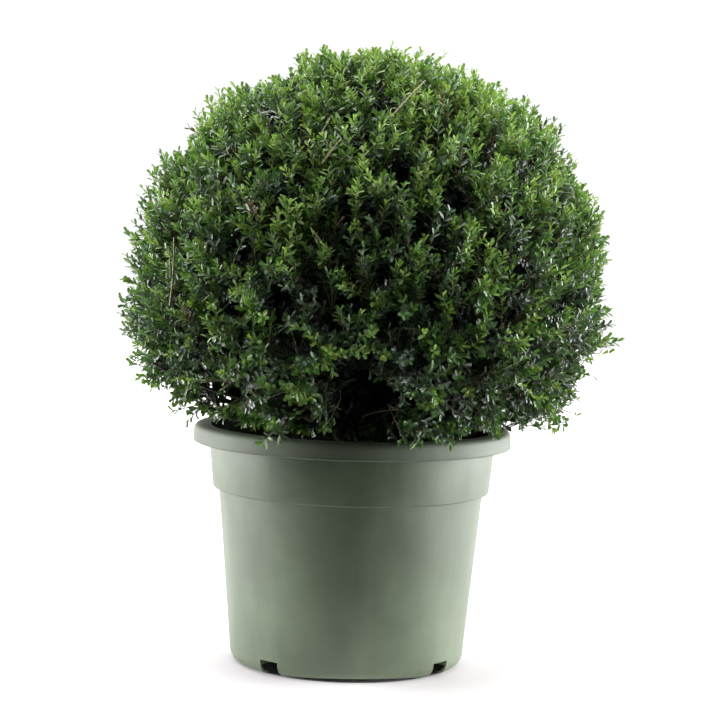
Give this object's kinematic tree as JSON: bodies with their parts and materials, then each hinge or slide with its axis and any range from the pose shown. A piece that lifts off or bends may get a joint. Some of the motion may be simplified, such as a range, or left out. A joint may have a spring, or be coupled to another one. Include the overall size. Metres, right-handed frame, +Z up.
{
  "type": "potted japanese holly ball",
  "caption": "Evergreen shrub clipped to a dense ball of small leaves on a short trunk, in a tapered plastic nursery pot with a stepped band and a rolled rim.",
  "frame": {"origin": "centre of the pot's flat underside, on the pot's axis", "axes": "+Z up along the pot's axis, -Y to the front that the picture shows, +X to the right of it"},
  "size_m": [0.7688, 0.7695, 0.975],
  "materials": {
    "pot_plastic": "sage-green moulded plastic, satin, faintly smudged",
    "soil": "dark moist potting mix, crumbly and matt",
    "bark": "grey-brown bark, finely ridged",
    "foliage": "small glossy green leaves on thin twigs"
  },
  "bodies": {
    "root": {"pot": "pot_plastic", "soil": "soil", "trunk": "bark", "bough_high_1": "bark", "bough_high_2": "bark", "bough_high_3": "bark", "bough_high_4": "bark", "bough_high_5": "bark", "bough_low_1": "bark", "bough_low_2": "bark", "bough_low_3": "bark", "bough_low_4": "bark", "bough_low_5": "bark", "bough_low_6": "bark", "bough_low_7": "bark", "foliage_ball": "foliage", "foliage_skirt_1": "foliage", "foliage_skirt_2": "foliage", "foliage_skirt_3": "foliage", "foliage_skirt_4": "foliage", "foliage_skirt_5": "foliage", "foliage_skirt_6": "foliage", "foliage_skirt_7": "foliage"}
  },
  "joints": []
}
